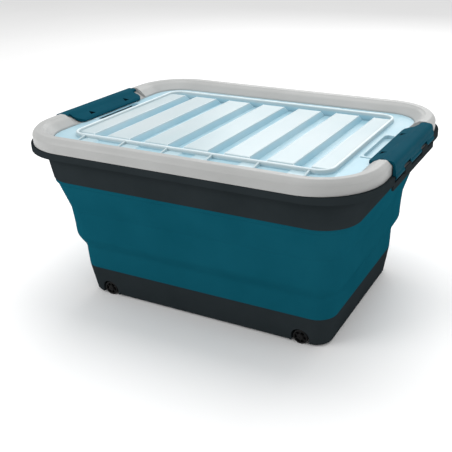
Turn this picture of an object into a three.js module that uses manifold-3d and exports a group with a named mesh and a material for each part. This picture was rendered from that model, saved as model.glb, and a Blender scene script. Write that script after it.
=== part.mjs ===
// Collapsible storage crate: a soft folding tub between a hard base and a hard top frame,
// closed by a latched lid.
// Millimetres, +Z up, X along the length, the origin on the floor under the middle of the crate.
import * as THREE from 'three';
import { mergeVertices } from 'three/addons/utils/BufferGeometryUtils.js';
import Module from 'manifold-3d';

const wasm = await Module();
wasm.setup();

// Driving dimensions.
const LENGTH = 600;                 // outside of the lid rim
const WIDTH = 449;
const CORNER_RADIUS = 100;          // plan corner of the lid rim
const BAND_INSET = 31;              // the corner tightens quickly down to this inset, then more slowly
const CORNER_SHRINK = [1.42, 0.7];
const CORNER_STEPS = 8;
const GAP = 0.3;                    // clearance between neighbouring pieces
const WALL = 3;                     // thickness of hard mouldings and of the soft wall

// Heights, from the floor up.
const BASE_BOTTOM = 3;
const FLOOR_TOP = 9;
const FLOOR_BOTTOM = 6;
const BASE_TOP = 54;
const LOWER_FOLD_BOTTOM = 92;
const LOWER_FOLD_TOP = 114;
const UPPER_FOLD_BOTTOM = 164;
const BAND_BOTTOM = 222;
const BAND_TOP = 255;
const LIP_BOTTOM = 271;
const LIP_TOP = 282;
const UPSTAND_TOP = 294;
const RIM_TOP = 305;

// How far each level stands in from the outside of the lid rim.
const BASE_BOTTOM_INSET = 72.5;
const BASE_TOP_INSET = 65;
const UNDERSIDE_INSET = 77;         // the floor's underside is recessed inside this line
const LOWER_WALL_INSETS = [65, 63.5];
const MIDDLE_WALL_INSETS = [51.5, 50.5, 48];
const BAND_INSETS = [29, 23];
const SOFT_STEP = 2;                // the soft wall starts this far inside the band's lower edge
const UPSTAND_INSETS = [13.5, 16.5];
const FRAME_INNER_INSET = 26;
const RIM_WIDTH = 37.5;
const END_REACH = 6;                // how far the frame's lip stands out past the rim at the short ends

// Lid panel.
const PANEL_INSET = RIM_WIDTH + 0.4;
const PANEL_THICKNESS = 2.5;
const FLANGE = [285.5, 288];
const VALLEY = [278.5, 281];
const RIB_SIZE = [458, 310];
const RIB_RADIUS = 24;
const RIB_THICKNESS = 5.5;
const RIB_TOP = 295;
const RIDGE_TOP = 292;
const RIDGE_PITCH = 72;
const RIDGE_COUNT = 5;
const RIDGE_HALF_WIDTHS = [25, 21]; // at the foot and at the top
const END_RIDGE_X = 208.5;          // the two end ridges run into the stacking rib
const END_RIDGE_HALF_WIDTHS = [19.5, 15.5];
const RIDGE_HALF_LENGTHS = [147, 136];
const RIDGE_SIDE = 3.8;             // level thickness of a ridge's sloping sides
const TICK_PITCH = 79;
const TICK_THICKNESS = 3;
const PAD_LENGTH = 30;

// Latches, hinge pins and the lugs that hold them.
const PIN_X = 304;
const PIN_Z = LIP_TOP - 2;
const PIN_RADIUS = 2.5;
const BORE_RADIUS = 2.8;
const KNUCKLE_RADIUS = 4;
const LATCH_HALF_WIDTH = 102;
const LIP_HALF_WIDTH = 88;
const LUG_SPAN = [30, 60];
const LUG_GAP = 1;
const LUG_TOP = LIP_TOP;
const LUG_OUTER_X = 308.8;
const LUG_CLEARANCE = 7;            // room over a lug for the latch to swing past it
const POCKET_HALF_WIDTH = 103.5;    // the hinge pocket in the frame's lip
const POCKET_BACK_X = 298.3;
const POCKET_FLOOR = 272.5;
const APRON_HALF_WIDTH = 108;
const APRON_BOTTOM = 262;
const LIP_SLOT_Y = 48;
const SEAT_Z = RIM_TOP - 6.5;       // top of the rim under a closed latch

// Wheels.
const WHEEL_X = 183.5;
const WHEEL_RADIUS = 12.5;
const WHEEL_SIDES = 24;
const WHEEL_FACES_Y = [139.3, 152.3];
const WHEEL_WELL_Y = [134, 138];
const WELL_FACE_Y = 153;
const WHEEL_WELL_RADIUS = 15.6;
const AXLE_RADIUS = 2.9;
const AXLE_HEAD_RADIUS = 5;

const material = (color, roughness, extra = {}) =>
  new THREE.MeshStandardMaterial({ color, roughness, metalness: 0, ...extra });
const charcoal = material(0x282d30, 0.5);
const teal = material(0x184c5c, 0.6);
const lightGrey = material(0xc4c4c1, 0.45);
const frosted = material(0xc3dae2, 0.35, { transparent: true, opacity: 0.7 });
const wheelBlack = material(0x0f1011, 0.5);
const steel = material(0x3b3b3d, 0.35, { metalness: 1 });

// A solid from a geometry, and a geometry from a solid.
function solid(geometry) {
  const bare = geometry.index ? geometry.toNonIndexed() : geometry.clone();
  for (const name of Object.keys(bare.attributes)) {
    if (name !== 'position') bare.deleteAttribute(name);
  }
  const merged = mergeVertices(bare, 1e-4);
  return new wasm.Manifold(new wasm.Mesh({
    numProp: 3,
    vertProperties: new Float32Array(merged.attributes.position.array),
    triVerts: new Uint32Array(merged.index.array),
  }));
}

function geometryOf(body) {
  const mesh = body.getMesh();
  const geometry = new THREE.BufferGeometry();
  geometry.setAttribute('position', new THREE.BufferAttribute(new Float32Array(mesh.vertProperties), 3));
  geometry.setIndex(new THREE.BufferAttribute(new Uint32Array(mesh.triVerts), 1));
  return geometry;
}

// Points of a rounded rectangle, anticlockwise seen from above.
function roundedRectangle(length, width, radius, z) {
  const points = [];
  for (let corner = 0; corner < 4; corner++) {
    const sx = corner === 0 || corner === 3 ? 1 : -1;
    const sy = corner < 2 ? 1 : -1;
    for (let step = 0; step <= CORNER_STEPS; step++) {
      const angle = (corner + step / CORNER_STEPS) * Math.PI / 2;
      points.push([
        sx * (length / 2 - radius) + radius * Math.cos(angle),
        sy * (width / 2 - radius) + radius * Math.sin(angle),
        z,
      ]);
    }
  }
  return points;
}

// The crate's plan outline at one level; reach lengthens it at both short ends.
function crateLevel(inset, z, reach = 0) {
  const quick = CORNER_SHRINK[0] * Math.min(inset, BAND_INSET);
  const slow = CORNER_SHRINK[1] * Math.max(inset - BAND_INSET, 0);
  const radius = CORNER_RADIUS - quick - slow;
  return roundedRectangle(LENGTH - 2 * inset + 2 * reach, WIDTH - 2 * inset, radius, z);
}

function geometryFromLevels(levels, closesOnItself) {
  const around = levels[0].length;
  const positions = levels.flat(2);
  const index = [];
  const bands = closesOnItself ? levels.length : levels.length - 1;
  for (let band = 0; band < bands; band++) {
    const low = band * around;
    const high = ((band + 1) % levels.length) * around;
    for (let i = 0; i < around; i++) {
      const next = (i + 1) % around;
      index.push(low + i, low + next, high + next, low + i, high + next, high + i);
    }
  }
  if (!closesOnItself) {
    const last = (levels.length - 1) * around;
    for (let i = 1; i < around - 1; i++) {
      index.push(0, i + 1, i);
      index.push(last, last + i, last + i + 1);
    }
  }
  const geometry = new THREE.BufferGeometry();
  geometry.setAttribute('position', new THREE.Float32BufferAttribute(positions, 3));
  geometry.setIndex(index);
  return geometry;
}

// A ring around the crate: the profile runs up the outside and down the inside.
const ring = (profile) => geometryFromLevels(profile.map((point) => crateLevel(...point)), true);

// A body closed at its first and last level.
const stack = (levels) => geometryFromLevels(levels, false);

// A prism along Y from an outline of [x, z] points given anticlockwise with Y away from the viewer.
function prismY(outline, from, to) {
  const shape = new THREE.Shape(outline.map(([x, z]) => new THREE.Vector2(x, z)));
  const depth = to - from;
  const geometry = new THREE.ExtrudeGeometry(shape, { depth, bevelEnabled: false });
  geometry.rotateX(Math.PI / 2);
  geometry.translate(0, to, 0);
  return geometry;
}

function box(x, y, z) {
  const geometry = new THREE.BoxGeometry(x[1] - x[0], y[1] - y[0], z[1] - z[0]);
  geometry.translate((x[0] + x[1]) / 2, (y[0] + y[1]) / 2, (z[0] + z[1]) / 2);
  return geometry;
}

function cylinderY(radius, x, z, from, to, sides) {
  const geometry = new THREE.CylinderGeometry(radius, radius, to - from, sides);
  geometry.translate(x, (from + to) / 2, z);
  return geometry;
}

const union = (bodies) => bodies.reduce((sum, body) => sum.add(body));
const mirrored = (span) => [[span[0], span[1]], [-span[1], -span[0]]];

// A frustum-shaped ridge across the panel, given its half sizes at the foot and at the top.
function ridge(x, halfWidths, halfLengths, foot, top) {
  const corners = (w, l, z) => [[x + w, l, z], [x - w, l, z], [x - w, -l, z], [x + w, -l, z]];
  return stack([corners(halfWidths[0], halfLengths[0], foot), corners(halfWidths[1], halfLengths[1], top)]);
}

// Base tray: a tapered tray with a wheel well and an axle hole near each end of its long sides.
function baseTray() {
  const tray = stack([
    crateLevel(BASE_BOTTOM_INSET + 1.5, BASE_BOTTOM),
    crateLevel(BASE_BOTTOM_INSET - 0.2, BASE_BOTTOM + 1.5),
    crateLevel(BASE_TOP_INSET, BASE_TOP),
    crateLevel(BASE_TOP_INSET + WALL, BASE_TOP),
    crateLevel(BASE_BOTTOM_INSET + WALL, FLOOR_TOP),
  ]);
  const recess = stack([crateLevel(UNDERSIDE_INSET, 0), crateLevel(UNDERSIDE_INSET, FLOOR_BOTTOM)]);
  const wellTop = WHEEL_RADIUS + WHEEL_WELL_RADIUS + WALL;
  const wells = [];
  const cuts = [];
  for (const side of [-1, 1]) {
    for (const x of [-WHEEL_X, WHEEL_X]) {
      const y = (a, b) => (side > 0 ? [a, b] : [-b, -a]);
      const half = WHEEL_WELL_RADIUS + WALL;
      const wellY = y(WHEEL_WELL_Y[0], WELL_FACE_Y);
      wells.push(solid(box([x - half, x + half], wellY, [BASE_BOTTOM + 1, wellTop])));
      const [near, far] = y(WHEEL_WELL_Y[1], WELL_FACE_Y + 10);
      cuts.push(solid(cylinderY(WHEEL_WELL_RADIUS, x, WHEEL_RADIUS, near, far, 32)));
      cuts.push(solid(box([x - WHEEL_WELL_RADIUS, x + WHEEL_WELL_RADIUS], [near, far], [0, WHEEL_RADIUS])));
      const [holeNear, holeFar] = y(WHEEL_WELL_Y[0] - 1, WELL_FACE_Y + 10);
      cuts.push(solid(cylinderY(AXLE_RADIUS + GAP, x, WHEEL_RADIUS, holeNear, holeFar, 16)));
    }
  }
  return geometryOf(union([solid(tray).subtract(solid(recess)), ...wells]).subtract(union(cuts)));
}

const wheelCentres = [
  { name: 'front_left', x: -WHEEL_X, side: -1 },
  { name: 'front_right', x: WHEEL_X, side: -1 },
  { name: 'rear_left', x: -WHEEL_X, side: 1 },
  { name: 'rear_right', x: WHEEL_X, side: 1 },
];

// Wheel: turned about Y with a dished outer face; a flat of its rim faces down.
function wheel({ x, side }) {
  const [inner, outer] = WHEEL_FACES_Y;
  const halfSide = Math.PI / WHEEL_SIDES;
  const rim = WHEEL_RADIUS / Math.cos(halfSide);
  const profile = [
    [3.2, inner], [rim - 1, inner], [rim, inner + 1], [rim, outer - 1], [rim - 1, outer],
    [9.6, outer], [9.2, outer - 1.8], [5.8, outer - 1.8], [5.4, outer - 0.6], [3.2, outer - 0.6],
    [3.2, inner],
  ].map(([r, y]) => new THREE.Vector2(r, y));
  const geometry = new THREE.LatheGeometry(profile, WHEEL_SIDES, halfSide, Math.PI * 2);
  if (side < 0) geometry.rotateZ(Math.PI);
  geometry.translate(x, 0, WHEEL_RADIUS);
  return geometryOf(solid(geometry));
}

// Axle: a headed pin through the wheel into the wall of its well.
function axle({ x, side }) {
  const headInner = WHEEL_FACES_Y[1] - 0.6 + GAP;
  const profile = [
    [0, WHEEL_WELL_Y[0]], [AXLE_RADIUS, WHEEL_WELL_Y[0]], [AXLE_RADIUS, headInner],
    [AXLE_HEAD_RADIUS, headInner], [AXLE_HEAD_RADIUS, headInner + 0.8],
    [AXLE_HEAD_RADIUS - 0.8, headInner + 1.4], [0, headInner + 1.4],
  ].map(([r, y]) => new THREE.Vector2(r, y));
  const geometry = new THREE.LatheGeometry(profile, 16);
  if (side < 0) geometry.rotateZ(Math.PI);
  geometry.translate(x, 0, WHEEL_RADIUS);
  return geometryOf(solid(geometry));
}

// The soft wall, in four lengths that meet at its fold lines.
function lowerWall() {
  const [low, high] = LOWER_WALL_INSETS;
  return ring([
    [low, BASE_TOP + GAP], [high, LOWER_FOLD_BOTTOM], [high + WALL, LOWER_FOLD_BOTTOM],
    [low + WALL, BASE_TOP + GAP],
  ]);
}

function lowerFold() {
  const outer = LOWER_WALL_INSETS[1];
  const inner = MIDDLE_WALL_INSETS[0];
  const low = LOWER_FOLD_BOTTOM + GAP;
  const high = LOWER_FOLD_TOP - GAP;
  return ring([[outer, low], [inner, high], [inner + WALL, high], [outer + WALL, low]]);
}

function middleWall() {
  const [low, middle, high] = MIDDLE_WALL_INSETS;
  const half = (LOWER_FOLD_TOP + UPPER_FOLD_BOTTOM) / 2;
  return ring([
    [low, LOWER_FOLD_TOP], [middle - 1, half], [high, UPPER_FOLD_BOTTOM],
    [high + WALL, UPPER_FOLD_BOTTOM], [middle - 1 + WALL, half], [low + WALL, LOWER_FOLD_TOP],
  ]);
}

function upperFold() {
  const inner = MIDDLE_WALL_INSETS[2];
  const outer = BAND_INSETS[0] + SOFT_STEP;
  const low = UPPER_FOLD_BOTTOM + GAP;
  const high = BAND_BOTTOM - GAP;
  return ring([[inner, low], [outer, high], [outer + WALL, high], [inner + WALL, low]]);
}

// A lug: an open-topped saddle that the latch pin drops into.
function lug(end, from, to) {
  const outline = [
    [POCKET_BACK_X - 0.5, POCKET_FLOOR - 1], [LUG_OUTER_X - 1.6, POCKET_FLOOR - 1],
    [LUG_OUTER_X, POCKET_FLOOR + 2.5], [LUG_OUTER_X, LUG_TOP], [PIN_X + BORE_RADIUS, LUG_TOP],
    [PIN_X + BORE_RADIUS, PIN_Z], [PIN_X + 2, PIN_Z - 2], [PIN_X, PIN_Z - BORE_RADIUS],
    [PIN_X - 2, PIN_Z - 2], [PIN_X - BORE_RADIUS, PIN_Z], [PIN_X - BORE_RADIUS, LUG_TOP],
    [POCKET_BACK_X - 0.5, LUG_TOP],
  ];
  return solid(prismY(end > 0 ? outline : outline.map(([x, z]) => [-x, z]).reverse(), from, to));
}

// Top frame: band, overhanging lip, upstand for the lid, and at each end a hinge pocket with two lugs.
function topFrame() {
  const [bandLow, bandHigh] = BAND_INSETS;
  const [upstandOut, upstandIn] = UPSTAND_INSETS;
  const reach = END_REACH;
  const frame = ring([
    [bandLow, BAND_BOTTOM], [bandHigh, BAND_TOP], [bandHigh - 0.5, LIP_TOP - WALL],
    [WALL, LIP_TOP - WALL, reach], [WALL, LIP_BOTTOM, reach], [0, LIP_BOTTOM, reach], [0, LIP_TOP, reach],
    [upstandOut, LIP_TOP], [upstandOut, UPSTAND_TOP], [upstandIn, UPSTAND_TOP], [upstandIn, LIP_TOP],
    [FRAME_INNER_INSET, LIP_TOP], [FRAME_INNER_INSET, BAND_TOP], [bandLow + WALL, BAND_BOTTOM],
  ]);
  const outside = LENGTH / 2 + END_REACH;
  const span = (near, far, end) => (end > 0 ? [near, far] : [-far, -near]);
  const around = [-APRON_HALF_WIDTH, APRON_HALF_WIDTH];
  let body = solid(frame);
  for (const end of [-1, 1]) {
    const apron = box(span(outside - WALL - 0.5, outside, end), around, [APRON_BOTTOM, LIP_BOTTOM + 2]);
    const housingZ = [POCKET_FLOOR - WALL, LIP_TOP - 1];
    const housing = box(span(POCKET_BACK_X - WALL, outside, end), around, housingZ);
    const pocketWidth = [-POCKET_HALF_WIDTH, POCKET_HALF_WIDTH];
    const pocket = box(span(POCKET_BACK_X, outside + 6, end), pocketWidth, [POCKET_FLOOR, LIP_TOP + 1]);
    body = body.add(solid(apron)).add(solid(housing)).subtract(solid(pocket));
    for (const [from, to] of mirrored(LUG_SPAN)) body = body.add(lug(end, from, to));
  }
  return geometryOf(body);
}

// The space that a closed latch takes out of the rim, as an [x, z] outline at the +X end.
const latchSeat = [
  [258, SEAT_Z - 9.7], [266, SEAT_Z - 9.7], [285.5, SEAT_Z], [310, SEAT_Z], [310, RIM_TOP + 9],
  [258, RIM_TOP + 9],
];

// Lid rim: an inverted channel all round, filled and seated under each latch.
function lidRim() {
  const top = RIM_TOP;
  const profile = [
    [0, LIP_TOP + GAP], [0, top - 8], [2.5, top - 3.3], [7.5, top], [20, top - 0.5], [26, top - 4],
    [RIM_WIDTH, top - 15], [RIM_WIDTH, FLANGE[0] - 2], [RIM_WIDTH - WALL, FLANGE[0] - 2],
    [RIM_WIDTH - WALL, top - 17], [25, top - 8.5], [19, top - 4.5], [9, top - 4.5],
    [WALL + 0.2, top - 8.5], [WALL + 0.2, LIP_TOP + GAP],
  ];
  const fill = [
    [263, FLANGE[0] - 1], [280, FLANGE[0] - 1], [280, UPSTAND_TOP + 1.5], [298.5, UPSTAND_TOP + 1.5],
    [298.5, top - 7], [292.5, top - 1], [280, top - 1.5], [274, top - 5], [263, top - 15.5],
  ];
  let rim = solid(ring(profile));
  for (const end of [-1, 1]) {
    const turned = (outline) => (end > 0 ? outline : outline.map(([x, z]) => [-x, z]).reverse());
    rim = rim.add(solid(prismY(turned(fill), -LATCH_HALF_WIDTH - 4, LATCH_HALF_WIDTH + 4)));
    rim = rim.subtract(solid(prismY(turned(latchSeat), -LATCH_HALF_WIDTH - 1, LATCH_HALF_WIDTH + 1)));
  }
  return geometryOf(rim);
}

// Lid panel: a flange, a stacking rib, and a sunken floor with hollow ridges across it.
function lidPanel() {
  const rib = (offset, z) => roundedRectangle(
    RIB_SIZE[0] - 2 * offset, RIB_SIZE[1] - 2 * offset, RIB_RADIUS - offset, z);
  const flange = solid(stack([crateLevel(PANEL_INSET, FLANGE[0]), crateLevel(PANEL_INSET, FLANGE[1])]));
  const ribBody = solid(stack([rib(0, VALLEY[0]), rib(0.4, RIB_TOP - 1), rib(1.2, RIB_TOP)]));
  const well = solid(stack([rib(RIB_THICKNESS, VALLEY[1]), rib(RIB_THICKNESS - 0.8, RIB_TOP + 1)]));
  let panel = flange.add(ribBody).subtract(well);
  const ridges = [-END_RIDGE_X, END_RIDGE_X].map((x) => ({ x, widths: END_RIDGE_HALF_WIDTHS }));
  for (let i = 0; i < RIDGE_COUNT; i++) {
    ridges.push({ x: (i - (RIDGE_COUNT - 1) / 2) * RIDGE_PITCH, widths: RIDGE_HALF_WIDTHS });
  }
  for (const { x, widths } of ridges) {
    panel = panel.add(solid(ridge(x, widths, RIDGE_HALF_LENGTHS, VALLEY[0] + 1, RIDGE_TOP)));
  }
  for (const { x, widths } of ridges) {
    const hollowWidths = widths.map((w) => w - RIDGE_SIDE);
    const hollowLengths = RIDGE_HALF_LENGTHS.map((l) => l - RIDGE_SIDE);
    const ceiling = RIDGE_TOP - PANEL_THICKNESS;
    panel = panel.subtract(solid(ridge(x, hollowWidths, hollowLengths, VALLEY[0] - 1, ceiling)));
  }
  const edge = RIB_SIZE[1] / 2;
  const half = TICK_THICKNESS / 2;
  for (const side of [-1, 1]) {
    for (let i = 0; i < 6; i++) {
      const x = (i - 2.5) * TICK_PITCH;
      const y = side > 0 ? [edge - 1, edge + 18] : [-edge - 18, -edge + 1];
      panel = panel.add(solid(box([x - half, x + half], y, [FLANGE[1] - 1, FLANGE[1] + 3])));
      const pad = x < 0 ? [x, x + PAD_LENGTH] : [x - PAD_LENGTH, x];
      const padY = side > 0 ? [edge - 1, edge + 13] : [-edge - 13, -edge + 1];
      panel = panel.add(solid(box(pad, padY, [FLANGE[1] - 1, FLANGE[1] + 1.5])));
    }
  }
  return geometryOf(panel);
}

// Latch outline at the +X end, in two parts: the plate with its inner lip, and the skirt down to the hinge.
const plateOutline = [
  [283.5, SEAT_Z + GAP], [299.5, SEAT_Z + GAP], [301, SEAT_Z - 1.8], [302, SEAT_Z - 6.3],
  [305.4, SEAT_Z - 6.3], [304.6, SEAT_Z + 0.9], [302.5, SEAT_Z + 3.5], [299.5, SEAT_Z + 4.9],
  [287, SEAT_Z + 5.5], [283.5, SEAT_Z + 4.3],
];
const lipOutline = [
  [260, SEAT_Z - 9.3], [262, SEAT_Z - 9.2], [285.5, SEAT_Z + 0.6], [287, SEAT_Z + 2.2],
  [286, SEAT_Z + 4.9], [283, SEAT_Z + 3.9], [261, SEAT_Z - 5.2], [258, SEAT_Z - 6.9],
  [258, SEAT_Z - 8.8],
];
const skirtOutline = [
  [301.9, SEAT_Z - 5.8], [301.4, PIN_Z + 6], [301.8, PIN_Z + 2], [306, PIN_Z + 2], [306.8, PIN_Z + 6],
  [306.4, SEAT_Z - 9], [305.4, SEAT_Z - 5.8],
];

function latch(end) {
  const turned = (outline) => (end > 0 ? outline : outline.map(([x, z]) => [-x, z]).reverse());
  const part = (outline, from, to) => solid(prismY(turned(outline), from, to));
  const wide = LATCH_HALF_WIDTH;
  const x = end * PIN_X;
  const inner = LUG_SPAN[0] - LUG_GAP;
  const outer = LUG_SPAN[1] + LUG_GAP;
  let body = union([
    part(plateOutline, -wide, wide),
    part(lipOutline, -LIP_HALF_WIDTH, LIP_HALF_WIDTH),
    part(skirtOutline, -wide, wide),
  ]);
  for (const [from, to] of [[-wide, -outer], [-inner, inner], [outer, wide]]) {
    body = body.add(solid(cylinderY(KNUCKLE_RADIUS, x, PIN_Z, from, to, 20)));
  }
  const lugRoom = end > 0 ? [300, 320] : [-320, -300];
  for (const [from, to] of mirrored([inner, outer])) {
    body = body.subtract(solid(box(lugRoom, [from, to], [PIN_Z - 13, PIN_Z + LUG_CLEARANCE])));
  }
  body = body.subtract(solid(cylinderY(BORE_RADIUS, x, PIN_Z, -wide - 1, wide + 1, 16)));
  for (const y of [-LIP_SLOT_Y, LIP_SLOT_Y]) {
    const slot = end > 0 ? [267, 273] : [-273, -267];
    body = body.subtract(solid(box(slot, [y - 6, y + 6], [SEAT_Z - 15, SEAT_Z + 5])));
  }
  return geometryOf(body);
}

const latchPin = (end) =>
  cylinderY(PIN_RADIUS, end * PIN_X, PIN_Z, -LATCH_HALF_WIDTH + 1, LATCH_HALF_WIDTH - 1, 16);

const crate = new THREE.Group();
function add(name, geometry, meshMaterial) {
  const mesh = new THREE.Mesh(geometry, meshMaterial.clone());
  mesh.name = name;
  crate.add(mesh);
}

add('base_tray', baseTray(), charcoal);
for (const place of wheelCentres) {
  add(`wheel_${place.name}`, wheel(place), wheelBlack);
  add(`axle_${place.name}`, axle(place), steel);
}
add('lower_wall', lowerWall(), teal);
add('lower_fold', lowerFold(), teal);
add('middle_wall', middleWall(), teal);
add('upper_fold', upperFold(), teal);
add('top_frame', topFrame(), charcoal);
add('lid_rim', lidRim(), lightGrey);
add('lid_panel', lidPanel(), frosted);
add('latch_left', latch(-1), teal);
add('latch_right', latch(1), teal);
add('latch_pin_left', latchPin(-1), steel);
add('latch_pin_right', latchPin(1), steel);

export default crate;
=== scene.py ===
import math

import bmesh
import bpy
from mathutils import Matrix, Vector


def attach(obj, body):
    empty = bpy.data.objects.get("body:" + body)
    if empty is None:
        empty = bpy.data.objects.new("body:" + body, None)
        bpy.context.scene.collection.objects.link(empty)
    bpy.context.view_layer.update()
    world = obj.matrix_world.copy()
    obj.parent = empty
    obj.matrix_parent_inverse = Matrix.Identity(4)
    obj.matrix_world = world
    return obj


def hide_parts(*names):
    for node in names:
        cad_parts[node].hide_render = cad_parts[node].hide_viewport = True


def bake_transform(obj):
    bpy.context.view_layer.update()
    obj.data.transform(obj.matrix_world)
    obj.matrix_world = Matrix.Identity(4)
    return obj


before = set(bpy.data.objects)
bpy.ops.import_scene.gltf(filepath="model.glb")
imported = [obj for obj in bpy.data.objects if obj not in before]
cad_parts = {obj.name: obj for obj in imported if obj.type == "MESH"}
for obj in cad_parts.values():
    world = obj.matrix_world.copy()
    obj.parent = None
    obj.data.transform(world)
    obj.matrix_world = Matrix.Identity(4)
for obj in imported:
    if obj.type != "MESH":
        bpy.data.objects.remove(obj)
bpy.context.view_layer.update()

# Sizes in millimetres, +Z up, the same as the frame's. An inset is measured inwards from the lid rim's outline.
MM = 0.001

# The crate's outline, and how its corner radius shrinks down to the band and below it.
LENGTH, WIDTH = 600, 449
CORNER_RADIUS = 100
BAND_INSET = 31
CORNER_SHRINK = (1.42, 0.7)
CORNER_STEPS = 18

# Base and soft wall.
WALL = 3
BASE_BOTTOM, FLOOR_BOTTOM, FLOOR_TOP, BASE_TOP = 3, 6, 9, 54
BASE_FOOT_INSET, BASE_TOP_INSET, UNDERSIDE_INSET = 72.5, 65, 77
LOWER_FOLD = (92, 114)
UPPER_FOLD = (164, 222)

# Top frame. The lip and the hinge housings stand out by END_REACH at both short ends.
BAND_TOP, LIP_BOTTOM, LIP_TOP, UPSTAND_TOP, RIM_TOP = 255, 271, 282, 294, 305
UPSTAND_INSETS = (13.5, 16.5)
END_REACH = 6.0
APRON_BOTTOM = 262
HOUSING_HALF_WIDTH = 108

# Lid.
SEAT_Z = RIM_TOP - 6.5
RIM_WIDTH = 37.5
PANEL_INSET = RIM_WIDTH + 0.4
FLANGE = (285.5, 288)
VALLEY = (278.5, 281)
RIB_SIZE = (458, 310)
RIB_RADIUS = 24
RIB_THICKNESS = 5.5
RIB_TOP, RIDGE_TOP = 295, 292
RIDGE_PITCH = 72
RIDGE_HALF_WIDTHS = (25, 21)
END_RIDGE_X = 208.5
END_RIDGE_HALF_WIDTHS = (19.5, 15.5)
RIDGE_HALF_LENGTHS = (147, 136)
RIDGE_SIDE = 3.4
TICK_PITCH, TICKS, TICK_HALF_THICKNESS = 79, 6, 1.4
TRAY_X, TRAY_HALF_WIDTH = (237.5, 257), 60
TRAY_UNDERSIDE, TRAY_FLOOR = FLANGE[0] - 3.8, FLANGE[0] - 1.8
TRAY_HOLLOW_X, TRAY_HOLLOW_HALF_WIDTH, TRAY_HOLLOW_RADIUS = (240, 257.6), 57, 8.5

# Latches and their hinges.
PIN_X, PIN_Z = 304, 280
PIN_RADIUS, BORE_RADIUS, KNUCKLE_RADIUS = 2.5, 2.8, 4
LUG_OUTER_X, LUG_CLEARANCE = 308.8, 7
LUG_SPAN = (30, 60)
POCKET_BACK_X, POCKET_FLOOR, POCKET_HALF_WIDTH = 298.3, 272.5, 103.5
LATCH_HALF_WIDTH = 102
LIP_HALF_WIDTH, LIP_CORNER_RADIUS = 90, 15
MARK_Y, MARK_BACK_X, MARK_TIP_X, MARK_HALF_WIDTH = 49, 265.5, 276, 6.5

# Wheels.
WHEEL_X, WHEEL_RADIUS, AXLE_HOLE_RADIUS = 183.5, 12.5, 3.2
WHEEL_FACES_Y = (139.3, 152.3)
TREAD_BANDS, SPOKES = 5, 6
WELL_INNER_Y, WELL_WALL_Y, WELL_FACE_Y = 134, 138, 153
WELL_RADIUS = 15.6


# ---------------------------------------------------------------- mesh helpers

def rounded_rectangle(length, width, radius, z):
    """A closed outline at height z, with each corner an arc of CORNER_STEPS segments."""
    points = []
    for corner in range(4):
        sx = 1 if corner in (0, 3) else -1
        sy = 1 if corner < 2 else -1
        for step in range(CORNER_STEPS + 1):
            angle = (corner + step / CORNER_STEPS) * math.pi / 2
            points.append((sx * (length / 2 - radius) + radius * math.cos(angle),
                           sy * (width / 2 - radius) + radius * math.sin(angle), z))
    return points


def crate_level(inset, z, reach=0.0):
    """The crate's plan outline at one level; reach lengthens it at both short ends."""
    quick = CORNER_SHRINK[0] * min(inset, BAND_INSET)
    slow = CORNER_SHRINK[1] * max(inset - BAND_INSET, 0)
    return rounded_rectangle(LENGTH - 2 * inset + 2 * reach, WIDTH - 2 * inset,
                             CORNER_RADIUS - quick - slow, z)


def softened(profile, closed=True, steps=4):
    """The profile with each corner rounded. A point is (values..., radius) and radius 0 keeps it sharp."""
    out = []
    count = len(profile)
    for i, point in enumerate(profile):
        here, radius = Vector(point[:-1]), point[-1]
        at_end = not closed and i in (0, count - 1)
        if radius <= 0 or at_end:
            out.append(tuple(here))
            continue
        before = Vector(profile[i - 1][:-1]) - here
        after = Vector(profile[(i + 1) % count][:-1]) - here
        a = here + before.normalized() * min(radius, before.length * 0.45)
        b = here + after.normalized() * min(radius, after.length * 0.45)
        for step in range(steps + 1):
            t = step / steps
            out.append(tuple(a * (1 - t) ** 2 + here * 2 * t * (1 - t) + b * t * t))
    return out


def divided(profile, longest):
    """Extra points on the long straight runs of an open profile."""
    out = [profile[0]]
    for a, b in zip(profile, profile[1:]):
        parts = max(1, math.ceil((Vector(b) - Vector(a)).length / longest))
        out += [tuple(Vector(a).lerp(Vector(b), i / parts)) for i in range(1, parts + 1)]
    return out


def circle(x, z, radius, steps):
    return [(x + radius * math.cos(i * math.pi / (steps // 2)), z + radius * math.sin(i * math.pi / (steps // 2)))
            for i in range(steps)]


def new_object(bm, name="part"):
    bmesh.ops.recalc_face_normals(bm, faces=bm.faces)
    mesh = bpy.data.meshes.new(name)
    bm.to_mesh(mesh)
    bm.free()
    made = bpy.data.objects.new(name, mesh)
    bpy.context.scene.collection.objects.link(made)
    return made


def loft(levels, closes=False):
    """A body through outlines with the same number of points, closed by end faces or on itself."""
    bm = bmesh.new()
    rows = [[bm.verts.new(Vector(p) * MM) for p in level] for level in levels]
    around = len(rows[0])
    for low, high in zip(rows, rows[1:] + rows[:1] if closes else rows[1:]):
        for i in range(around):
            j = (i + 1) % around
            bm.faces.new((low[i], low[j], high[j], high[i]))
    if not closes:
        bm.faces.new(rows[0])
        bm.faces.new(rows[-1])
    return new_object(bm)


def ring(profile, steps=4):
    """A closed ring round the crate from (inset, z, radius) or (inset, z, reach, radius) points."""
    return loft([crate_level(*p) for p in softened(profile, True, steps)], True)


def prism(outline, start, end, bevel=0.0, upright=False):
    """A prism along Y from (x, z) points, or along Z from (x, y) points, with softened end edges."""
    place = (lambda a, b, h: (a, b, h)) if upright else (lambda a, b, h: (a, h, b))
    bm = bmesh.new()
    low = [bm.verts.new(Vector(place(a, b, start)) * MM) for a, b in outline]
    high = [bm.verts.new(Vector(place(a, b, end)) * MM) for a, b in outline]
    count = len(outline)
    for i in range(count):
        j = (i + 1) % count
        bm.faces.new((low[i], low[j], high[j], high[i]))
    caps = [bm.faces.new(low), bm.faces.new(high)]
    bmesh.ops.recalc_face_normals(bm, faces=bm.faces)
    if bevel:
        edges = list({e for cap in caps for e in cap.edges})
        bmesh.ops.bevel(bm, geom=edges, offset=bevel * MM, segments=3, profile=0.5, affect="EDGES")
    return new_object(bm)


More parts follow.
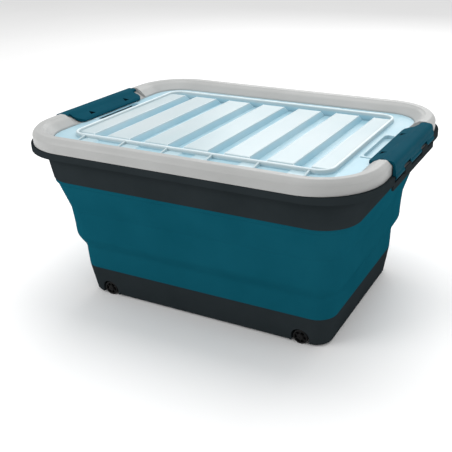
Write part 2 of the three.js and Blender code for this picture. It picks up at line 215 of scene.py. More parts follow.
def block(x, y, z, bevel=0.0):
    """A box between (low, high) pairs, with all its edges softened."""
    bm = bmesh.new()
    corners = [[bm.verts.new((x[i] * MM, y[j] * MM, z[k] * MM)) for i, j in ((0, 0), (1, 0), (1, 1), (0, 1))]
               for k in (0, 1)]
    for i in range(4):
        j = (i + 1) % 4
        bm.faces.new((corners[0][i], corners[0][j], corners[1][j], corners[1][i]))
    bm.faces.new(corners[0])
    bm.faces.new(corners[1])
    bmesh.ops.recalc_face_normals(bm, faces=bm.faces)
    if bevel:
        bmesh.ops.bevel(bm, geom=bm.edges[:], offset=bevel * MM, segments=2, profile=0.5, affect="EDGES")
    return new_object(bm)


def frustum(x, half_widths, half_lengths, heights, y=0.0, bevel=0.0):
    """A tapered block from (bottom, top) pairs, with the edges of its top softened."""
    bm = bmesh.new()
    levels = []
    for w, l, z in zip(half_widths, half_lengths, heights):
        levels.append([bm.verts.new(Vector((x + sx * w, y + sy * l, z)) * MM)
                       for sx, sy in ((-1, -1), (1, -1), (1, 1), (-1, 1))])
    for i in range(4):
        j = (i + 1) % 4
        bm.faces.new((levels[0][i], levels[0][j], levels[1][j], levels[1][i]))
    bm.faces.new(levels[0])
    top = bm.faces.new(levels[1])
    bmesh.ops.recalc_face_normals(bm, faces=bm.faces)
    if bevel:
        bmesh.ops.bevel(bm, geom=list(top.edges), offset=bevel * MM, segments=3, profile=0.5, affect="EDGES")
    return new_object(bm)


def lathe(profile, x, z, side, steps):
    """A body turned about an axis along Y, from (radius, y) points that start and end on the axis."""
    bm = bmesh.new()
    rows = []
    for radius, y in profile:
        if radius == 0:
            rows.append([bm.verts.new(Vector((x, side * y, z)) * MM)])
            continue
        rows.append([bm.verts.new(Vector((x + radius * math.cos(2 * math.pi * i / steps), side * y,
                                          z + radius * math.sin(2 * math.pi * i / steps))) * MM)
                     for i in range(steps)])
    for a, b in zip(rows, rows[1:]):
        for i in range(steps):
            j = (i + 1) % steps
            corners = [a[i % len(a)], a[j % len(a)], b[j % len(b)], b[i % len(b)]]
            bm.faces.new(list(dict.fromkeys(corners)))
    return new_object(bm)


def combine(base, others, operation):
    """base joined with, cut by or limited to the others, which are used up."""
    group = bpy.data.collections.new("operands")
    bpy.context.scene.collection.children.link(group)
    for other in others:
        group.objects.link(other)
        bpy.context.scene.collection.objects.unlink(other)
    modifier = base.modifiers.new("combine", "BOOLEAN")
    modifier.operation = operation
    modifier.solver = "EXACT"
    modifier.operand_type = "COLLECTION"
    modifier.collection = group
    graph = bpy.context.evaluated_depsgraph_get()
    result = bpy.data.meshes.new_from_object(base.evaluated_get(graph))
    base.modifiers.clear()
    base.data = result
    for other in others:
        bpy.data.objects.remove(other)
    bpy.data.collections.remove(group)
    return base


def mirrored_x(outline):
    """The same outline at the other end of the crate, still in order."""
    return [(-x, z) for x, z in reversed(outline)]


# ---------------------------------------------------------------- materials

def shader(name):
    """A new material, and the parts of it that the functions below set."""
    material = bpy.data.materials.new(name)
    material.use_nodes = True
    nodes, links = material.node_tree.nodes, material.node_tree.links
    return material, nodes, links, nodes["Principled BSDF"]


GRAIN_DEPTH = 0.0002


def noise(nodes, links, scale, detail=3.0, stretch=(1, 1, 1)):
    place = nodes.new("ShaderNodeTexCoord")
    mapping = nodes.new("ShaderNodeMapping")
    mapping.inputs["Scale"].default_value = stretch
    texture = nodes.new("ShaderNodeTexNoise")
    texture.inputs["Scale"].default_value = scale
    texture.inputs["Detail"].default_value = detail
    links.new(place.outputs["Object"], mapping.inputs["Vector"])
    links.new(mapping.outputs["Vector"], texture.inputs["Vector"])
    return texture.outputs["Fac"]


def ramp(nodes, links, source, low, high):
    node = nodes.new("ShaderNodeValToRGB")
    node.color_ramp.elements[0].position = 0.3
    node.color_ramp.elements[1].position = 0.7
    node.color_ramp.elements[0].color = (*low, 1)
    node.color_ramp.elements[1].color = (*high, 1)
    links.new(source, node.inputs["Fac"])
    return node.outputs["Color"]


def grain(nodes, links, target, scale, strength):
    """A fine moulded grain."""
    bump = nodes.new("ShaderNodeBump")
    bump.inputs["Strength"].default_value = strength
    bump.inputs["Distance"].default_value = GRAIN_DEPTH
    links.new(noise(nodes, links, scale, 4.0), bump.inputs["Height"])
    links.new(bump.outputs["Normal"], target.inputs["Normal"])


def plastic(name, low, high, roughness, grain_scale=900, grain_strength=0.12, specular=0.5):
    """Moulded plastic whose colour drifts between low and high, with an uneven finish and a fine grain."""
    material, nodes, links, bsdf = shader(name)
    links.new(ramp(nodes, links, noise(nodes, links, 14), low, high), bsdf.inputs["Base Color"])
    rough = nodes.new("ShaderNodeMapRange")
    rough.inputs["To Min"].default_value = roughness - 0.04
    rough.inputs["To Max"].default_value = roughness + 0.05
    links.new(noise(nodes, links, 60), rough.inputs["Value"])
    links.new(rough.outputs["Result"], bsdf.inputs["Roughness"])
    bsdf.inputs["Specular IOR Level"].default_value = specular
    grain(nodes, links, bsdf, grain_scale, grain_strength)
    return material


def frosted():
    """Translucent sheet plastic: the sunken floor is clearer and bluer, the raised parts milkier."""
    material, nodes, links, bsdf = shader("frosted_plastic")
    place = nodes.new("ShaderNodeTexCoord")
    split = nodes.new("ShaderNodeSeparateXYZ")
    links.new(place.outputs["Object"], split.inputs["Vector"])
    height = nodes.new("ShaderNodeMapRange")
    height.inputs["From Min"].default_value = (FLANGE[1] + 0.1) * MM
    height.inputs["From Max"].default_value = (RIDGE_TOP - 0.6) * MM
    links.new(split.outputs["Z"], height.inputs["Value"])
    colour = nodes.new("ShaderNodeMix")
    colour.data_type = "RGBA"
    deep = ramp(nodes, links, noise(nodes, links, 9), (0.38, 0.62, 0.725), (0.50, 0.69, 0.77))
    milky = ramp(nodes, links, noise(nodes, links, 5), (0.47, 0.58, 0.615), (0.55, 0.62, 0.64))
    links.new(height.outputs["Result"], colour.inputs["Factor"])
    links.new(deep, colour.inputs["A"])
    links.new(milky, colour.inputs["B"])
    links.new(colour.outputs["Result"], bsdf.inputs["Base Color"])
    bsdf.inputs["Roughness"].default_value = 0.28
    grain(nodes, links, bsdf, 500, 0.06)
    clear = nodes.new("ShaderNodeBsdfTransparent")
    clear.inputs["Color"].default_value = (0.90, 0.97, 0.99, 1)
    amount = nodes.new("ShaderNodeMapRange")
    amount.inputs["To Min"].default_value = 0.18
    amount.inputs["To Max"].default_value = 0.10
    links.new(height.outputs["Result"], amount.inputs["Value"])
    mix = nodes.new("ShaderNodeMixShader")
    links.new(amount.outputs["Result"], mix.inputs["Fac"])
    links.new(bsdf.outputs["BSDF"], mix.inputs[1])
    links.new(clear.outputs["BSDF"], mix.inputs[2])
    links.new(mix.outputs["Shader"], nodes["Material Output"].inputs["Surface"])
    return material


charcoal = plastic("charcoal_plastic", (0.0185, 0.0240, 0.0265), (0.0225, 0.0285, 0.0315), 0.62, specular=0.0)
teal_soft = plastic("teal_soft_wall", (0.0040, 0.070, 0.102), (0.0052, 0.079, 0.114), 0.70, 600, 0.10, specular=0.0)
teal = plastic("teal_plastic", (0.0034, 0.054, 0.083), (0.0046, 0.062, 0.093), 0.55, specular=0.008)
grey = plastic("grey_plastic", (0.355, 0.36, 0.355), (0.385, 0.39, 0.385), 0.38, 700, 0.05, specular=0.35)
black = plastic("black_plastic", (0.0012, 0.0012, 0.0014), (0.0024, 0.0024, 0.0028), 0.42, specular=0.2)
# Near-black colour that paints the shade inside the triangular slots of the latch lips.
painted_shade_dark = plastic("painted_shade_recess", (0.001, 0.002, 0.003), (0.002, 0.004, 0.005), 0.7, specular=0.0)
frost = frosted()
# A paler plastic that paints the highlight along the ridge edges and the rib crest.
painted_highlight_plastic = plastic("painted_highlight_edge", (0.60, 0.70, 0.74), (0.72, 0.79, 0.81), 0.3, 700, 0.05)


def steel_pin():
    material, nodes, links, bsdf = shader("pin_steel")
    drawn = noise(nodes, links, 300, 3.0, (1, 0.02, 1))
    links.new(ramp(nodes, links, drawn, (0.035, 0.035, 0.037), (0.055, 0.055, 0.058)), bsdf.inputs["Base Color"])
    bsdf.inputs["Metallic"].default_value = 1.0
    bsdf.inputs["Roughness"].default_value = 0.32
    return material


steel = steel_pin()


def finish_piece(piece, name, material, sharp=32):
    """Name a piece, give it one material and slot, and smooth it up to edges of sharp degrees."""
    piece.name = name
    piece.data.name = name
    piece.data.materials.clear()
    piece.data.materials.append(material)
    for polygon in piece.data.polygons:
        polygon.material_index = 0
    piece.data.shade_smooth()
    piece.data.set_sharp_from_angle(angle=math.radians(sharp))
    return piece


def even_normals(piece):
    """Keep large flat faces flat beside small rounded ones."""
    modifier = piece.modifiers.new("even_normals", "WEIGHTED_NORMAL")
    modifier.keep_sharp = True


# ---------------------------------------------------------------- base and wheels

def base_shell():
    """A shallow tray with a recessed underside, four wheel wells and a hole for each axle."""
    bottom, top = BASE_FOOT_INSET, BASE_TOP_INSET
    outside = [(bottom + 3.5, BASE_BOTTOM, 0), (bottom + 1.2, BASE_BOTTOM + 0.2, 0),
               (bottom, BASE_BOTTOM + 2, 0), (top, BASE_TOP - 0.4, 0), (top + 0.5, BASE_TOP, 0)]
    inside = [(top + WALL, BASE_TOP), (top + WALL + 0.3, BASE_TOP - 0.5), (bottom + WALL - 0.5, FLOOR_TOP + 5),
              (bottom + WALL + 0.7, FLOOR_TOP + 1.5), (bottom + WALL + 4, FLOOR_TOP)]
    shell = loft([crate_level(*p[:2]) for p in outside] + [crate_level(*p) for p in inside])
    under = loft([crate_level(UNDERSIDE_INSET, -1), crate_level(UNDERSIDE_INSET, FLOOR_BOTTOM)])
    combine(shell, [under], "DIFFERENCE")
    wells, cuts = [], []
    half = WELL_RADIUS + WALL
    arch = [(math.cos(i * math.pi / 20), math.sin(i * math.pi / 20)) for i in range(21)]
    for side in (-1, 1):
        for x in (-WHEEL_X, WHEEL_X):
            spans = [tuple(sorted((side * a, side * b))) for a, b in
                     ((WELL_INNER_Y, WELL_FACE_Y), (WELL_WALL_Y, WELL_FACE_Y + 12), (WELL_INNER_Y - 1, WELL_FACE_Y))]
            foot = [(x - half, BASE_BOTTOM + 1), (x + half, BASE_BOTTOM + 1)]
            body = foot + [(x + half * c, WHEEL_RADIUS + half * s) for c, s in arch]
            wells.append(prism(body, *spans[0]))
            notch = [(x - WELL_RADIUS, -2), (x + WELL_RADIUS, -2)]
            notch += [(x + WELL_RADIUS * c, WHEEL_RADIUS + WELL_RADIUS * s) for c, s in arch]
            cuts.append(prism(notch, *spans[1]))
            cuts.append(prism(circle(x, WHEEL_RADIUS, AXLE_HOLE_RADIUS, 24), *spans[2]))
    combine(shell, wells, "UNION")
    combine(shell, cuts, "DIFFERENCE")
    return shell


def arch_bead(x, side):
    """A rounded bead round the mouth of a wheel well."""
    radius, thick, face, sides = WELL_RADIUS + 1.4, 1.0, WELL_FACE_Y - 0.3, 10
    path = [(x + radius, BASE_BOTTOM + 0.8, 1, 0)]
    path += [(x + radius * math.cos(a), WHEEL_RADIUS + radius * math.sin(a), math.cos(a), math.sin(a))
             for a in (i * math.pi / 24 for i in range(25))]
    path += [(x - radius, BASE_BOTTOM + 0.8, -1, 0)]
    levels = []
    for px, pz, nx, nz in path:
        level = []
        for i in range(sides):
            turn = 2 * math.pi * i / sides
            out = thick * math.cos(turn)
            level.append((px + nx * out, side * (face + thick * 0.5 * math.sin(turn)), pz + nz * out))
        levels.append(level)
    return loft(levels)


def wheel(x, side):
    """A banded tread round a hub, with spokes across the recess in the outer face."""
    inner, outer = WHEEL_FACES_Y
    r = WHEEL_RADIUS
    tread = []
    for i in range(TREAD_BANDS):
        y = inner + 2.0 + i * 2.2
        tread += [(r, y), (r, y + 1.3), (r - 0.45, y + 1.6), (r - 0.45, y + 1.9)]
    profile = [(AXLE_HOLE_RADIUS, inner), (r - 1.2, inner), (r - 0.3, inner + 0.4), (r, inner + 1.2)] + tread
    profile += [(r, outer - 1.2), (r - 0.3, outer - 0.4), (r - 1.1, outer), (10.2, outer), (9.8, outer - 0.4),
                (9.6, outer - 3.2), (5.6, outer - 3.2), (5.3, outer - 0.9), (5.0, outer - 0.6),
                (AXLE_HOLE_RADIUS, outer - 0.6)]
    bm = bmesh.new()
    steps = 56
    rows = [[bm.verts.new(Vector((x + q * math.cos(2 * math.pi * i / steps), side * y,
                                  WHEEL_RADIUS + q * math.sin(2 * math.pi * i / steps))) * MM)
             for i in range(steps)] for q, y in profile]
    for a, b in zip(rows, rows[1:] + rows[:1]):
        for i in range(steps):
            j = (i + 1) % steps
            bm.faces.new((a[i], a[j], b[j], b[i]))
    body = new_object(bm)
    spokes = []
    for i in range(SPOKES):
        turn = math.pi * (i / (SPOKES // 2) + 1 / SPOKES)
        arm = block((4.9, 10.1), tuple(sorted((side * (outer - 3.6), side * (outer - 0.7)))), (-0.9, 0.9), 0.25)
        arm.data.transform(Matrix.Translation(Vector((x, 0, WHEEL_RADIUS)) * MM) @ Matrix.Rotation(turn, 4, "Y"))
        spokes.append(arm)
    combine(body, spokes, "UNION")
    return body


def axle(x, side):
    """A headed axle fixed in the wall of its well."""
    head = WHEEL_FACES_Y[1] - 0.3
    profile = [(0, WELL_INNER_Y), (2.5, WELL_INNER_Y), (2.9, WELL_INNER_Y + 0.4), (2.9, head), (4.6, head),
               (4.9, head + 0.2), (4.9, head + 0.6), (4.4, head + 1.1), (3.0, head + 1.4), (1.6, head + 1.3),
               (1.3, head + 0.8), (0, head + 0.7)]
    return lathe(profile, x, WHEEL_RADIUS, side, 32)


shell = finish_piece(base_shell(), "base_shell", charcoal)
even_normals(shell)
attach(shell, "base")
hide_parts("base_tray")
for place, x, side in (("front_left", -WHEEL_X, -1), ("front_right", WHEEL_X, -1),
                       ("rear_left", -WHEEL_X, 1), ("rear_right", WHEEL_X, 1)):
    bead = finish_piece(arch_bead(x, side), f"arch_bead_{place}", charcoal)
    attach(bead, "base")
    roller = finish_piece(wheel(x, side), f"spoked_wheel_{place}", black)
    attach(roller, f"{place}_wheel")
    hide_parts(f"wheel_{place}")
    pin = finish_piece(axle(x, side), f"headed_axle_{place}", black)
    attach(pin, "base")
    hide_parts(f"axle_{place}")


# ---------------------------------------------------------------- soft wall

def wall_piece(outline, longest=3.0):
    """A ring whose outside follows an open profile of (inset, z, radius) and whose inside stands WALL further in."""
    outside = divided(softened(outline, False, 6), longest)
    inside = [(inset + WALL, z) for inset, z in reversed(outside)]
    return loft([crate_level(inset, z) for inset, z in outside + inside], True)


lower = wall_piece([(BASE_TOP_INSET, BASE_TOP + 0.15, 0), (64.2, 70, 8), (63.6, LOWER_FOLD[0], 6),
                    (51.5, LOWER_FOLD[1], 7), (50.5, 139, 12), (48.2, UPPER_FOLD[0] - 0.05, 0)])
finish_piece(lower, "soft_wall_lower", teal_soft, 50)
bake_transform(lower)
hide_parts("lower_wall", "lower_fold", "middle_wall")

upper = wall_piece([(48.2, UPPER_FOLD[0] + 0.05, 0), (47.3, 168, 3), (34.0, 212, 5), (33.2, 214.8, 1.5),
                    (BAND_INSET, 215.8, 1.5), (BAND_INSET, UPPER_FOLD[1] - 0.02, 0)])
finish_piece(upper, "soft_wall_upper", teal_soft, 50)
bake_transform(upper)
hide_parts("upper_fold")


# ---------------------------------------------------------------- top frame

def lug(end, start, finish):
    """An open-topped saddle that holds the hinge pin."""
    saddle = [(PIN_X + BORE_RADIUS * math.cos(a), PIN_Z + BORE_RADIUS * math.sin(a))
              for a in (-i * math.pi / 10 for i in range(11))]
    outline = [(POCKET_BACK_X - 0.5, POCKET_FLOOR - 1), (LUG_OUTER_X - 1.8, POCKET_FLOOR - 1),
               (LUG_OUTER_X - 0.5, POCKET_FLOOR + 0.4), (LUG_OUTER_X, POCKET_FLOOR + 2.5),
               (LUG_OUTER_X, LIP_TOP - 0.6), (LUG_OUTER_X - 0.6, LIP_TOP), (PIN_X + BORE_RADIUS, LIP_TOP)]
    outline += saddle + [(PIN_X - BORE_RADIUS, LIP_TOP), (POCKET_BACK_X - 0.5, LIP_TOP)]
    return prism(outline if end > 0 else mirrored_x(outline), start, finish, 0.4)


def top_frame():
    """The band, the lip and the upstand round the mouth, with a hinge pocket and two lugs at each end."""
    reach = END_REACH
    fence_out, fence_in = UPSTAND_INSETS
    frame_ring = ring([
        (29, UPPER_FOLD[1], 0, 1.2), (23, BAND_TOP, 0, 2), (22.5, LIP_TOP - 6, 0, 3), (19, LIP_TOP - WALL, 0, 2),
        (WALL, LIP_TOP - WALL, reach, 1), (WALL, LIP_BOTTOM, reach, 0.8), (0.0, LIP_BOTTOM, reach, 0.8),
        (0.0, LIP_TOP, reach, 1.2), (fence_out, LIP_TOP, 0, 0.6), (fence_out, UPSTAND_TOP, 0, 0.6),
        (fence_in, UPSTAND_TOP, 0, 0.6), (fence_in, LIP_TOP, 0, 0.6),
        (26, LIP_TOP, 0, 0.8), (26, BAND_TOP, 0, 1), (32, UPPER_FOLD[1], 0, 0.8)], 3)
    outside = LENGTH / 2 + reach
    house_y = (-HOUSING_HALF_WIDTH, HOUSING_HALF_WIDTH)
    joined, pockets, lugs = [], [], []
    for end in (-1, 1):
        wall_x = sorted((end * (outside - 3.4), end * (outside - 0.05)))
        joined.append(block(wall_x, house_y, (APRON_BOTTOM, LIP_BOTTOM + 3), 0.9))
        house_x = sorted((end * (POCKET_BACK_X - WALL), end * (outside - 0.1)))
        joined.append(block(house_x, house_y, (POCKET_FLOOR - WALL, LIP_TOP - 1), 0.4))
        open_x = sorted((end * POCKET_BACK_X, end * (outside + 6)))
        pockets.append(block(open_x, (-POCKET_HALF_WIDTH, POCKET_HALF_WIDTH), (POCKET_FLOOR, LIP_TOP + 1)))
        for low, high in (LUG_SPAN, (-LUG_SPAN[1], -LUG_SPAN[0])):
            lugs.append(lug(end, low, high))
    combine(frame_ring, joined, "UNION")
    combine(frame_ring, pockets, "DIFFERENCE")
    combine(frame_ring, lugs, "UNION")
    return frame_ring


collar = finish_piece(top_frame(), "top_collar", charcoal)
even_normals(collar)
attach(collar, "top_ring")
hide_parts("top_frame")


# ---------------------------------------------------------------- lid rim

def lid_rim():
    """A rounded channel over the upstand, filled and cut to a flat seat under each latch."""
    top = RIM_TOP
    rim = ring([
        (0, LIP_TOP + 0.3, 0.8), (0, top - 8, 1.1), (2.2, top - 4.6, 1.1), (7.5, top, 1.6), (19, top - 0.6, 1.0),
        (20.5, top - 1.8, 0.8), (26.5, top - 4.4, 3), (RIM_WIDTH, top - 15, 2), (RIM_WIDTH, FLANGE[0] - 2, 0.6),
        (RIM_WIDTH - WALL, FLANGE[0] - 2, 0.6), (RIM_WIDTH - WALL, top - 17, 1), (25, top - 8.5, 2),
        (19, top - 4.5, 2), (9, top - 4.5, 2), (WALL + 0.2, top - 8.5, 2), (WALL + 0.2, LIP_TOP + 0.3, 0.6)])
    fill = [(263, FLANGE[0] - 1), (280, FLANGE[0] - 1), (280, UPSTAND_TOP + 1.5), (298.5, UPSTAND_TOP + 1.5),
            (298.5, top - 7.5), (292.5, top - 1.4), (281, top - 1.8), (274, top - 5.6), (263, top - 15.8)]
    seat = [(256, SEAT_Z - 9.7), (266, SEAT_Z - 9.7), (285.5, SEAT_Z), (310, SEAT_Z), (310, top + 9), (256, top + 9)]
    fills, seats = [], []
    for end in (-1, 1):
        fills.append(prism(fill if end > 0 else mirrored_x(fill), -LATCH_HALF_WIDTH - 4, LATCH_HALF_WIDTH + 4))
        seats.append(prism(seat if end > 0 else mirrored_x(seat), -LATCH_HALF_WIDTH - 1, LATCH_HALF_WIDTH + 1))
    combine(rim, fills, "UNION")
    combine(rim, seats, "DIFFERENCE")
    return rim


rim = finish_piece(lid_rim(), "lid_frame", grey)
even_normals(rim)
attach(rim, "lid")
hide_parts("lid_rim")


# ---------------------------------------------------------------- lid panel

def rib_level(offset, z):
    """The stacking rib's outline, offset inwards."""
    return rounded_rectangle(RIB_SIZE[0] - 2 * offset, RIB_SIZE[1] - 2 * offset, RIB_RADIUS - offset, z)


def tick(x, side):
    """A fin that runs down from the rib to the rim, with a low pad beside it on the side towards the middle."""
    edge = RIB_SIZE[1] / 2
    fin = [(edge - 1.5, FLANGE[1] - 1), (edge + 24, FLANGE[1] - 1), (edge + 24, FLANGE[1] + 0.8),
           (edge + 15, FLANGE[1] + 3.2), (edge - 1.5, RIB_TOP - 1.0)]
    bm = bmesh.new()
    near = [bm.verts.new(Vector((x - TICK_HALF_THICKNESS, side * y, z)) * MM) for y, z in fin]
    far = [bm.verts.new(Vector((x + TICK_HALF_THICKNESS, side * y, z)) * MM) for y, z in fin]
    for i in range(len(fin)):
        j = (i + 1) % len(fin)
        bm.faces.new((near[i], near[j], far[j], far[i]))
    bm.faces.new(near)
    bm.faces.new(far)
    fin_body = new_object(bm)
    inward = -1 if x > 0 else 1
    pad = frustum(x + inward * 15, (17, 12), (11.5, 10), (FLANGE[1] - 1, FLANGE[1] + 2.0), side * (edge + 10), 0.5)
    return [fin_body, pad]


def lid_panel():
    """A flange, a stacking rib round a sunken floor with hollow ridges, and a shallow tray under each latch's lip."""
    flange = [(PANEL_INSET + 0.5, FLANGE[0]), (PANEL_INSET, FLANGE[0] + 0.4), (PANEL_INSET, FLANGE[1] - 0.4),
              (PANEL_INSET + 0.5, FLANGE[1])]
    panel = loft([crate_level(*p) for p in flange])
    rib = loft([rib_level(0, VALLEY[0]), rib_level(0, RIB_TOP - 1.6), rib_level(0.5, RIB_TOP - 0.5),
                rib_level(1.5, RIB_TOP)])
    trays, hollows = [], []
    for end in (-1, 1):
        x = sorted(end * value for value in TRAY_X)
        trays.append(block(x, (-TRAY_HALF_WIDTH, TRAY_HALF_WIDTH), (TRAY_UNDERSIDE, FLANGE[1] + 1.3), 0.9))
        inner = sorted(end * value for value in TRAY_HOLLOW_X)
        radius, half = TRAY_HOLLOW_RADIUS, TRAY_HOLLOW_HALF_WIDTH
        plan = []
        for cx, cy, start in ((inner[1] - radius, half - radius, 0), (inner[0] + radius, half - radius, 90),
                              (inner[0] + radius, radius - half, 180), (inner[1] - radius, radius - half, 270)):
            for i in range(7):
                a = math.radians(start + 15 * i)
                plan.append((cx + radius * math.cos(a), cy + radius * math.sin(a)))
        hollows.append(prism(plan, TRAY_FLOOR, FLANGE[1] + 6, 0, True))
    combine(panel, [rib] + trays, "UNION")
    well = loft([rib_level(RIB_THICKNESS, VALLEY[1]), rib_level(RIB_THICKNESS, RIB_TOP - 1.4),
                 rib_level(RIB_THICKNESS - 0.5, RIB_TOP - 0.5), rib_level(RIB_THICKNESS - 1.5, RIB_TOP + 0.1),
                 rib_level(RIB_THICKNESS - 1.5, RIB_TOP + 3)])
    combine(panel, [well] + hollows, "DIFFERENCE")
    places = [(i * RIDGE_PITCH, RIDGE_HALF_WIDTHS) for i in range(-2, 3)]
    places += [(-END_RIDGE_X, END_RIDGE_HALF_WIDTHS), (END_RIDGE_X, END_RIDGE_HALF_WIDTHS)]
    added = [frustum(x, w, RIDGE_HALF_LENGTHS, (VALLEY[0] + 1, RIDGE_TOP), 0, 1.1) for x, w in places]
    for side in (-1, 1):
        for i in range(TICKS):
            added += tick((i - (TICKS - 1) / 2) * TICK_PITCH, side)
    combine(panel, added, "UNION")
    below = [frustum(x, [v - RIDGE_SIDE for v in w], [v - RIDGE_SIDE for v in RIDGE_HALF_LENGTHS],
                     (VALLEY[0] - 1, RIDGE_TOP - 2.5)) for x, w in places]
    combine(panel, below, "DIFFERENCE")
    return panel


BEAD_RADIUS, BEAD_SIDES = 0.65, 8


def edge_bead(corners):
    """A thin rounded bar through (x, y, z) points."""
    levels = []
    for i, here in enumerate(corners):
        along = Vector(corners[min(i + 1, len(corners) - 1)]) - Vector(corners[max(i - 1, 0)])
        side = along.cross(Vector((0, 0, 1))).normalized() * BEAD_RADIUS
        rise = side.cross(along).normalized() * BEAD_RADIUS
        levels.append([tuple(Vector(here) + side * math.cos(a) + rise * math.sin(a))
                       for a in (math.pi * k / (BEAD_SIDES // 2) for k in range(BEAD_SIDES))])
    return loft(levels)


def panel_beads():
    """Thin rounded bars along the top edges of the ridges, run down their end slopes, that carry the painted
    highlight along those edges.
    """
    foot_l, top_l = RIDGE_HALF_LENGTHS
    beads = []
    for i in range(-3, 4):
        ends = abs(i) == 3
        widths = END_RIDGE_HALF_WIDTHS if ends else RIDGE_HALF_WIDTHS
        x = math.copysign(END_RIDGE_X, i) if ends else i * RIDGE_PITCH
        for side in (-1, 1):
            if ends and side * i > 0:
                continue
            path = [(x + side * (widths[0] - 1.2), -foot_l + 2.2, VALLEY[1] + 1.0),
                    (x + side * (widths[1] - 0.4), -top_l + 0.5, RIDGE_TOP - 0.3),
                    (x + side * (widths[1] - 0.4), top_l - 0.5, RIDGE_TOP - 0.3),
                    (x + side * (widths[0] - 1.2), foot_l - 2.2, VALLEY[1] + 1.0)]
            beads.append(edge_bead(path))
    first = beads.pop(0)
    combine(first, beads, "UNION")
    return first


def rib_bead():
    """The rounded crest of the stacking rib."""
    middle = RIB_THICKNESS / 2
    profile = [(1.0, RIB_TOP - 0.8), (1.3, RIB_TOP + 0.2), (middle, RIB_TOP + 0.7),
               (RIB_THICKNESS - 1.3, RIB_TOP + 0.2), (RIB_THICKNESS - 1.0, RIB_TOP - 0.8)]
    return loft([rib_level(offset, z) for offset, z in profile], True)


panel = finish_piece(lid_panel(), "ribbed_panel", frost, 28)
even_normals(panel)
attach(panel, "lid")
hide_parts("lid_panel")
# The ridge edge bars and the rib crest get the paler plastic, a painted highlight along them.
for bead, name in ((panel_beads(), "ridge_edge_beads"), (rib_bead(), "rib_top_bead")):
    finish_piece(bead, name, painted_highlight_plastic, 60)
    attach(bead, "lid")


# ---------------------------------------------------------------- latches

# Sections of a latch, as (x, z, corner radius) points.
PLATE = [(283.5, SEAT_Z + 0.3, 0), (299.5, SEAT_Z + 0.3, 0.5), (301, SEAT_Z - 1.8, 0.5), (302, SEAT_Z - 6.3, 0),
         (305.4, SEAT_Z - 6.3, 0), (304.8, SEAT_Z + 0.6, 3), (302.6, SEAT_Z + 4.2, 2.5), (298.5, SEAT_Z + 5.6, 2),
         (287, SEAT_Z + 5.6, 1.5), (283.5, SEAT_Z + 4.0, 1)]
# The lip's upper surface rises outwards from its inner edge.
LIP_EDGE_X, LIP_EDGE_Z, LIP_SLOPE = 261, SEAT_Z - 4.4, 0.29
LIP = [(260, SEAT_Z - 9.3, 0.6), (262, SEAT_Z - 9.2, 0.8), (285.5, SEAT_Z + 0.5, 0), (287, SEAT_Z + 2.2, 0),
       (286, SEAT_Z + 4.9, 0), (283, SEAT_Z + 3.9, 1.5), (277, SEAT_Z + 0.2, 2), (LIP_EDGE_X, LIP_EDGE_Z, 1.5),
       (258, SEAT_Z - 6.9, 1.2), (258, SEAT_Z - 8.8, 0.5)]
SKIRT = [(301.9, SEAT_Z - 5.8, 0), (301.4, PIN_Z + 6, 1), (301.8, PIN_Z + 2, 0), (306, PIN_Z + 2, 0),
         (306.8, PIN_Z + 6, 1.5), (306.4, SEAT_Z - 9, 1.5), (305.4, SEAT_Z - 5.8, 0)]


def latch(end):
    """A plate over the rim with an inner lip, an outer skirt and knuckles round the hinge pin."""
    def part(profile, start, finish, bevel=0.0):
        outline = softened(profile, True, 3)
        return prism(outline if end > 0 else mirrored_x(outline), start, finish, bevel)

    wide = LATCH_HALF_WIDTH
    gap_in, gap_out = LUG_SPAN[0] - 1, LUG_SPAN[1] + 1
    lip = part(LIP, -LIP_HALF_WIDTH, LIP_HALF_WIDTH)
    radius = LIP_CORNER_RADIUS
    plan = [(300, -LIP_HALF_WIDTH - 1), (300, LIP_HALF_WIDTH + 1), (282, LIP_HALF_WIDTH + 1),
            (281, LIP_HALF_WIDTH - 0.5)]
    plan += [(257.9 + radius - radius * math.sin(a), LIP_HALF_WIDTH - radius + radius * math.cos(a) - 0.5)
             for a in (i * math.pi / 16 for i in range(9))]
    plan += [(x, -y) for x, y in reversed(plan[4:])] + [(281, 0.5 - LIP_HALF_WIDTH), (282, -LIP_HALF_WIDTH - 1)]
    keep = prism([(end * x, y) for x, y in plan][::end], SEAT_Z - 20, SEAT_Z + 20, 0, True)
    combine(lip, [keep], "INTERSECT")
    body = part(PLATE, -wide, wide, 0.8)
    outline = [(*point, 0) for point in circle(PIN_X, PIN_Z, KNUCKLE_RADIUS, 28)]
    knuckles = [part(outline, start, finish, 0.5)
                for start, finish in ((-wide, -gap_out), (-gap_in, gap_in), (gap_out, wide))]
    combine(body, [lip, part(SKIRT, -wide, wide)] + knuckles, "UNION")
    cuts = [part([(*point, 0) for point in circle(PIN_X, PIN_Z, BORE_RADIUS, 20)], -wide - 1, wide + 1)]
    lug_room = [(300, PIN_Z - 13, 0), (320, PIN_Z - 13, 0), (320, PIN_Z + LUG_CLEARANCE, 0.8),
                (300, PIN_Z + LUG_CLEARANCE, 0)]
    for low, high in ((gap_in, gap_out), (-gap_out, -gap_in)):
        cuts.append(part(lug_room, low, high))
    for y in (-MARK_Y, MARK_Y):
        mark = [(MARK_BACK_X, y - MARK_HALF_WIDTH), (MARK_TIP_X, y), (MARK_BACK_X, y + MARK_HALF_WIDTH)]
        cuts.append(prism([(end * x, v) for x, v in mark][::end], SEAT_Z - 20, SEAT_Z + 8, 0, True))
    combine(body, cuts, "DIFFERENCE")
    return body


def mark_shade_plate(end, y):
    """A near-black plate in a triangular slot that paints the shade inside it, just clear of its walls and just under
    the lip's sloping surface.
    """
    half = MARK_HALF_WIDTH - 0.3
    outline = [(MARK_BACK_X + 0.2, y - half), (MARK_TIP_X - 0.4, y), (MARK_BACK_X + 0.2, y + half)]
    return loft([[(end * x, v, LIP_EDGE_Z + (x - LIP_EDGE_X) * LIP_SLOPE - drop) for x, v in outline]
                 for drop in (1.8, 0.3)])


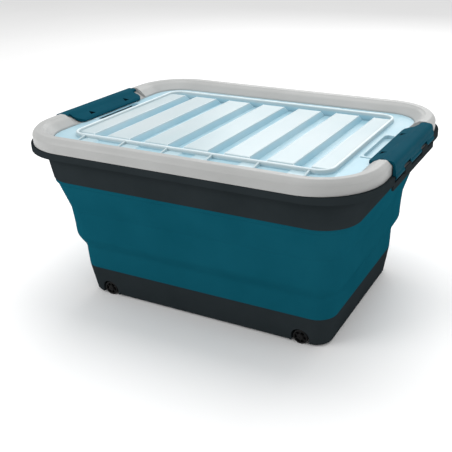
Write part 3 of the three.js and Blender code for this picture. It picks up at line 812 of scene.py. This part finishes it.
def latch_pin(end):
    """A plain pin with softened ends."""
    half = LATCH_HALF_WIDTH - 1
    r = PIN_RADIUS
    profile = [(0, -half), (r - 0.4, -half), (r, -half + 0.4), (r, half - 0.4), (r - 0.4, half), (0, half)]
    return lathe(profile, end * PIN_X, PIN_Z, 1, 24)


for word, end in (("left", -1), ("right", 1)):
    cover = finish_piece(latch(end), f"latch_cover_{word}", teal)
    even_normals(cover)
    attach(cover, f"{word}_latch")
    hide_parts(f"latch_{word}")
    for y, letter in ((-MARK_Y, "a"), (MARK_Y, "b")):
        # A near-black plate in each slot paints the shade inside it.
        slot_shade = finish_piece(mark_shade_plate(end, y), f"latch_mark_shade_{word}_{letter}", painted_shade_dark)
        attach(slot_shade, f"{word}_latch")
    rod = finish_piece(latch_pin(end), f"hinge_pin_{word}", steel)
    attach(rod, f"{word}_latch")
    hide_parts(f"latch_pin_{word}")


# ---------------------------------------------------------------- floor, light and camera

FLOOR_REACH = 7.0


def studio_floor():
    """A plain pale floor under the wheels."""
    bm = bmesh.new()
    far = FLOOR_REACH
    bm.faces.new([bm.verts.new(p) for p in ((-far, -far, 0), (far, -far, 0), (far, far, 0), (-far, far, 0))])
    floor = new_object(bm, "studio_floor")
    material, nodes, links, bsdf = shader("pale_floor")
    shade = ramp(nodes, links, noise(nodes, links, 2), (0.955, 0.955, 0.955), (0.97, 0.97, 0.97))
    links.new(shade, bsdf.inputs["Base Color"])
    bsdf.inputs["Roughness"].default_value = 0.9
    bsdf.inputs["Specular IOR Level"].default_value = 0.0
    floor.data.materials.append(material)


def softbox(name, place, target, size, power):
    """A rectangular area light that faces its target."""
    data = bpy.data.lights.new(name, "AREA")
    data.shape = "RECTANGLE"
    data.size, data.size_y = size
    data.energy = power
    lamp = bpy.data.objects.new(name, data)
    lamp.location = place
    lamp.rotation_euler = (Vector(target) - Vector(place)).to_track_quat("-Z", "Y").to_euler()
    bpy.context.scene.collection.objects.link(lamp)


# Lights and camera in metres: name, place, target, size and watts of each light.
LIGHTS = [("key_front_left", (-1.25, -1.5, 1.05), (-0.1, 0, 0.15), (1.2, 1.0), 13),
          ("side_right", (2.3, 0.1, 1.1), (0.1, 0, 0.15), (1.3, 1.3), 7),
          ("overhead", (0.0, 0.5, 2.3), (0, 0, 0.3), (2.2, 1.4), 26),
          ("back", (-0.3, 2.6, 1.6), (0, 0, 0.3), (2.6, 0.8), 18)]
AMBIENT = 0.73
CAMERA_LENS, CAMERA_SHIFT_X = 56.588, -0.1084
CAMERA_PLACE = Vector((0.56701, -1.01092, 0.63513))
CAMERA_RIGHT = Vector((0.89838, 0.43908, -0.01102))
CAMERA_UP = Vector((-0.17399, 0.37879, 0.90898))
CAMERA_BACK = Vector((0.40328, -0.81469, 0.41670))

studio_floor()
for light in LIGHTS:
    softbox(*light)

world = bpy.data.worlds.new("studio")
bpy.context.scene.world = world
world.use_nodes = True
world.node_tree.nodes["Background"].inputs["Color"].default_value = (1, 1, 1, 1)
world.node_tree.nodes["Background"].inputs["Strength"].default_value = AMBIENT

camera_data = bpy.data.cameras.new("camera")
camera = bpy.data.objects.new("camera", camera_data)
bpy.context.scene.collection.objects.link(camera)
bpy.context.scene.camera = camera
camera_data.sensor_width = 36
camera_data.lens = CAMERA_LENS
camera_data.shift_x = CAMERA_SHIFT_X
camera_data.clip_end = 30
turned = Matrix((CAMERA_RIGHT, CAMERA_UP, CAMERA_BACK)).transposed().to_4x4()
camera.matrix_world = Matrix.Translation(CAMERA_PLACE) @ turned

bpy.context.scene.view_settings.view_transform = "Standard"
bpy.context.view_layer.update()
